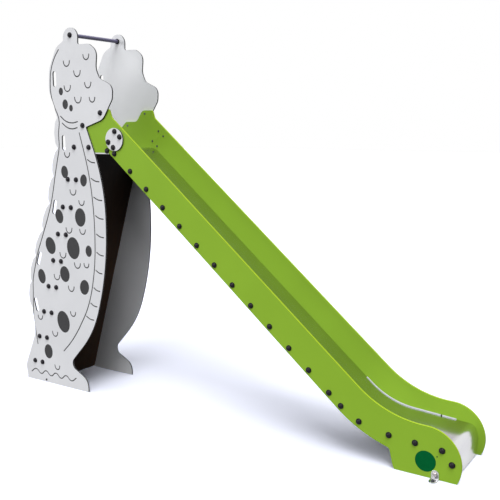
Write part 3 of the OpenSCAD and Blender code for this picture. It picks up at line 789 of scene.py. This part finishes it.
capLook = {
    "radius": 0.0205,
    "height": 0.017,
    "lip": 0.0028,                       # height of the hinge lip
    "dome": 0.965,                       # radius of the dome, as a share of the lip's
    "base": 0.93,                        # the same for the foot, which stands on the sheet
    "domeFoot": 0.0009,                  # from the lip to the start of the dome
    "domeSteps": 8,
    "steps": 32,
}


# Spins a line of (radius, height) points about Z
def spunShape(profile, steps):
    shape = bmesh.new()
    chain = [shape.verts.new((x, 0, z)) for x, z in profile]
    edges = [shape.edges.new(pair) for pair in zip(chain, chain[1:])]
    bmesh.ops.spin(shape, geom=chain + edges, cent=(0, 0, 0), axis=(0, 0, 1), angle=math.radians(360),
                   steps=steps, use_merge=True)
    return shape


def closeHoles(shape):
    bmesh.ops.holes_fill(shape, edges=[e for e in shape.edges if len(e.link_faces) == 1], sides=0)
    bmesh.ops.recalc_face_normals(shape, faces=shape.faces)


# Dome with a hinge lip that stands on the plane z = 0
def capMesh():
    r, lip = capLook["radius"], capLook["lip"]
    dome, foot = r * capLook["dome"], lip + capLook["domeFoot"]
    profile = [(r * capLook["base"], 0), (r, 0.0006), (r, lip), (dome, lip + 0.0004), (dome, foot)]
    for i in range(1, capLook["domeSteps"] + 1):
        turn = math.radians(90 * i / capLook["domeSteps"])
        profile.append((dome * math.cos(turn), foot + (capLook["height"] - foot) * math.sin(turn)))
    shape = spunShape(profile, capLook["steps"])
    bmesh.ops.remove_doubles(shape, verts=shape.verts, dist=shaping["weld"])
    closeHoles(shape)
    return intoMesh(shape, "cap")


# Adds a copy of a mesh at a place
def stamp(shape, mesh, place):
    placed = mesh.copy()
    placed.transform(place)
    shape.from_mesh(placed)
    bpy.data.meshes.remove(placed)


# Turns +Z along Y at a place and sizes it, so that it points away from the middle plane or towards it
def standing(x, y, z, size=1, outward=True):
    turn = math.radians(90 if (y < 0) == outward else -90)
    return Matrix.Translation((x, y, z)) @ Matrix.Rotation(turn, 4, "X") @ Matrix.Scale(size, 4)


def makeCaps():
    dome = capMesh()
    for nodeName in ("bar_caps", "tread_caps", "start_caps", "splice_caps", "bed_caps", "foot_caps"):
        shape = bmesh.new()
        for low, high in islands(nodeName):
            middle = (low + high) / 2
            base = low.y if middle.y > 0 else high.y
            size = (high.x - low.x) / 2 / capLook["radius"]
            stamp(shape, dome, standing(middle.x, base, middle.z, size))
        name = nodeName.replace("_caps", "_domes")
        addPiece(shape, name, paints["black_cap"], (nodeName,), shaping["neverFlat"])


makeCaps()
print("caps made")


# Slim pale strips along the bed's edges in the run-out, and small plugs on the green sides

stripLook = {
    "from": 1.062,
    "to": 1.716,
    "traceFrom": 0.8,                    # the bed's edge is followed from its last corner before this place
    "height": 0.0052,                    # above the sheet
    "sunk": 0.003,                       # below it, behind the rounded bend
    "thickness": 0.002,
    "endRound": 0.42,                    # rounding of the ends, as a share of the whole height
    "face": places["greenInside"] - 0.0001,
    "screwPlace": 1.614,
    "screwRise": 0.45,                   # share of the height above the sheet
    "screwRadius": 0.0050,
    "plugPlace": (1.7596, 0.150),
    "plugRadius": 0.0042,
    "plugFace": places["greenOutside"],
}


# Points (x, z) along one bend of the bed, from the slope to the nose
def bedEdgeLine():
    bed = mergedCopy("slide_bed")
    bends = bedBends(bed)
    line = sorted({(round(v.co.x, 5), round(v.co.z, 5)) for e in bends for v in e.verts if v.co.y > 0})
    bed.free()
    before = [point for point in line if point[0] <= stripLook["traceFrom"]]
    return before[-1:] + line[len(before):]


def stripShape(edgeLine, side):
    shape = bmesh.new()
    chain = [shape.verts.new((x, side * stripLook["face"], z - stripLook["sunk"])) for x, z in edgeLine]
    for pair in zip(chain, chain[1:]):
        shape.edges.new(pair)
    raised = vertsIn(bmesh.ops.extrude_edge_only(shape, edges=shape.edges[:])["geom"])
    rise = stripLook["height"] + stripLook["sunk"]
    bmesh.ops.translate(shape, verts=raised, vec=(0, 0, rise))
    for x, way in ((stripLook["from"], -1), (stripLook["to"], 1)):
        everything = shape.verts[:] + shape.edges[:] + shape.faces[:]
        bmesh.ops.bisect_plane(shape, geom=everything, plane_co=(x, 0, 0), plane_no=(way, 0, 0),
                               clear_outer=True)
    corners = [v for v in shape.verts if len(v.link_edges) == 2]
    bmesh.ops.bevel(shape, geom=corners, offset=rise * stripLook["endRound"], offset_type="OFFSET",
                    affect="VERTICES", segments=5, profile=0.5, material=-1)
    lifted = vertsIn(bmesh.ops.extrude_face_region(shape, geom=shape.faces[:])["geom"])
    bmesh.ops.translate(shape, verts=lifted, vec=(0, -side * stripLook["thickness"], 0))
    bmesh.ops.recalc_face_normals(shape, faces=shape.faces)
    return shape


def makeEdgeStrips():
    edgeLine = bedEdgeLine()
    print("edge line of the run-out:", edgeLine[0], "to", edgeLine[-1], "in", len(edgeLine), "points")
    strips = bmesh.new()
    dots = bmesh.new()
    dome = capMesh()
    screwX = stripLook["screwPlace"]
    screwZ = valueOn(edgeLine, screwX) + stripLook["height"] * stripLook["screwRise"]
    plugX, plugZ = stripLook["plugPlace"]
    for side in (-1, 1):
        strips.from_mesh(intoMesh(stripShape(edgeLine, side), "strip"))
        front = side * (stripLook["face"] - stripLook["thickness"])
        screwSize = stripLook["screwRadius"] / capLook["radius"]
        stamp(dots, dome, standing(screwX, front, screwZ, screwSize, outward=False))
        plugSize = stripLook["plugRadius"] / capLook["radius"]
        stamp(dots, dome, standing(plugX, side * stripLook["plugFace"], plugZ, plugSize))
    addPiece(strips, "bed_edge_strips", paints["strip"])
    addPiece(dots, "small_plugs", paints["black_cap"], flatAbove=shaping["neverFlat"])


makeEdgeStrips()
print("edge strips made")


# Treads with non-slip studs

treadLook = {
    "edgeRadius": 0.0011,
    "studRadius": 0.0075,
    "studTop": 0.62,                     # radius at its top, as a share
    "studHeight": 0.0022,
    "studSunk": 0.0002,
    "rows": 4,
    "perRow": 11,                        # one fewer in every second row
    "margin": 0.05,                      # plain width left over in a row
}


def studMesh():
    radius, height = treadLook["studRadius"], treadLook["studHeight"]
    shape = bmesh.new()
    bmesh.ops.create_cone(shape, cap_ends=True, segments=14, radius1=radius,
                          radius2=radius * treadLook["studTop"], depth=height)
    bmesh.ops.translate(shape, verts=shape.verts, vec=(0, 0, height / 2 - treadLook["studSunk"]))
    return intoMesh(shape, "stud")


def makeTreads():
    stud = studMesh()
    rows = treadLook["rows"]
    for number in range(1, 9):
        nodeName = f"tread_{number}"
        low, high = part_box(nodeName)
        shape = mergedCopy(nodeName)
        roundEdges(shape, sharpEdges(shape), treadLook["edgeRadius"])
        pitch = (high.y - low.y - treadLook["margin"]) / treadLook["perRow"]
        for row in range(rows):
            count = treadLook["perRow"] - row % 2
            x = low.x + (high.x - low.x) * (row + 0.5) / rows
            for k in range(count):
                stamp(shape, stud, Matrix.Translation((x, (k - (count - 1) / 2) * pitch, high.z)))
        addPiece(shape, f"ladder_tread_{number}", paints["tread_steel"], (nodeName,))


makeTreads()
print("treads made")


# Domed socket bolts on the exit brackets

boltLook = {
    "face": 0.265,                       # of the exit brackets, from the middle plane
    "washer": 0.0150,                    # radii
    "radius": 0.0115,
    "socket": 0.0046,
    "height": 0.0082,
    "socketDepth": 0.0019,
    "steps": 30,
}


def boltMesh():
    washer, r, h = boltLook["washer"], boltLook["radius"], boltLook["height"]
    profile = [(washer * 0.9, 0), (washer, 0.0004), (washer, 0.0016), (washer * 0.93, 0.002),
               (r, 0.002), (r, 0.0034), (r * 0.92, 0.0056), (r * 0.74, 0.0072),
               (boltLook["socket"] * 1.25, h)]
    shape = spunShape(profile, boltLook["steps"])
    rims = [e for e in shape.edges if len(e.link_faces) == 1]
    top = [e for e in rims if min(v.co.z for v in e.verts) > h - 0.0001]
    wall = bmesh.ops.extrude_edge_only(shape, edges=top)["geom"]
    bmesh.ops.scale(shape, verts=vertsIn(wall), vec=(0.8, 0.8, 1))
    inner = [part for part in wall if isinstance(part, bmesh.types.BMEdge)]
    pit = bmesh.ops.extrude_edge_only(shape, edges=inner)["geom"]
    bmesh.ops.translate(shape, verts=vertsIn(pit), vec=(0, 0, -boltLook["socketDepth"]))
    closeHoles(shape)
    return intoMesh(shape, "bolt")


def makeExitBolts():
    bolt = boltMesh()
    shape = bmesh.new()
    for low, high in islands("foot_bolts"):
        middle = (low + high) / 2
        if middle.x > 0:  # the others are in the tower's feet
            face = boltLook["face"] if middle.y > 0 else -boltLook["face"]
            stamp(shape, bolt, standing(middle.x, face, middle.z))
    addPiece(shape, "exit_bolt_heads", paints["bolt_head"])


makeExitBolts()
print("exit bolts made")
